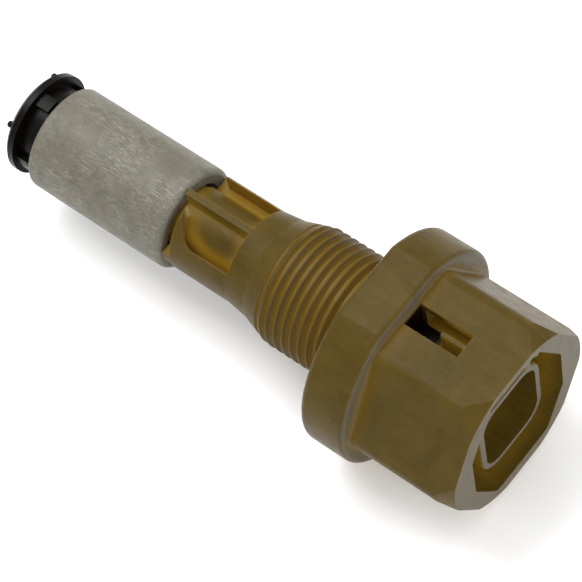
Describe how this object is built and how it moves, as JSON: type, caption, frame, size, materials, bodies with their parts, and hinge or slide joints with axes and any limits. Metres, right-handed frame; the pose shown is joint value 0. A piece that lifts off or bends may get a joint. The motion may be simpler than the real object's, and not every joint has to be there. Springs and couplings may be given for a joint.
{
  "type": "float level switch",
  "caption": "Screw-in fluid level switch with hexagon connector head, flange, thread, ribbed stem, cylindrical float and end cap.",
  "frame": {"origin": "centre of the flange's sealing face, on the thread's axis", "axes": "+X along the axis and out of the connector, +Z the outward normal of the hexagon flat with the latch window, and up when the switch is fitted level in a tank wall"},
  "size_m": [0.0917, 0.0358, 0.0334],
  "materials": {
    "body_plastic": "tan glass-filled polyamide, semi-gloss moulding",
    "seal_rubber": "black nitrile rubber",
    "carrier_plastic": "dark heat-resistant plastic",
    "terminal_metal": "tin-plated brass",
    "potting_resin": "black epoxy resin",
    "board_laminate": "green coated glass-epoxy laminate",
    "resistor_coat": "beige lacquer",
    "lead_wire": "tinned wire",
    "solder_metal": "bright tin solder",
    "reed_glass": "clear greenish glass",
    "cushion_rubber": "translucent silicone rubber",
    "reed_metal": "nickel-iron, plated",
    "float_foam": "grey-white foamed plastic with a satin moulded skin",
    "magnet_ferrite": "dark plastic-bonded ferrite",
    "cap_plastic": "black moulded plastic"
  },
  "bodies": {
    "switch_body": {"sensor_body": "body_plastic", "sealing_ring": "seal_rubber", "terminal_carrier": "carrier_plastic", "terminal_left": "terminal_metal", "terminal_right": "terminal_metal", "potting_compound": "potting_resin", "circuit_board": "board_laminate", "resistor_body": "resistor_coat", "resistor_leads": "lead_wire", "solder_joints": "solder_metal", "reed_capsule": "reed_glass", "reed_cushion": "cushion_rubber", "reed_blade_fixed": "reed_metal", "reed_lead": "reed_metal", "end_cap": "cap_plastic"},
    "float": {"float_body": "float_foam", "float_magnet": "magnet_ferrite", "magnet_cover": "float_foam"},
    "reed": {"reed_blade_moving": "reed_metal"}
  },
  "joints": [
    {"name": "float_lift", "type": "slide", "parent": "switch_body", "child": "float", "axis": [0, 0, 1], "range_m": [0, 0.0019]},
    {"name": "reed_bend", "type": "hinge", "parent": "switch_body", "child": "reed", "pos_m": [-0.0511, 0, 0.00078], "axis": [0, -1, 0], "range_deg": [0, 2]}
  ],
  "couplings": [
    {"joint": "reed_bend", "follows": "float_lift", "rad_per_m": 18}
  ]
}
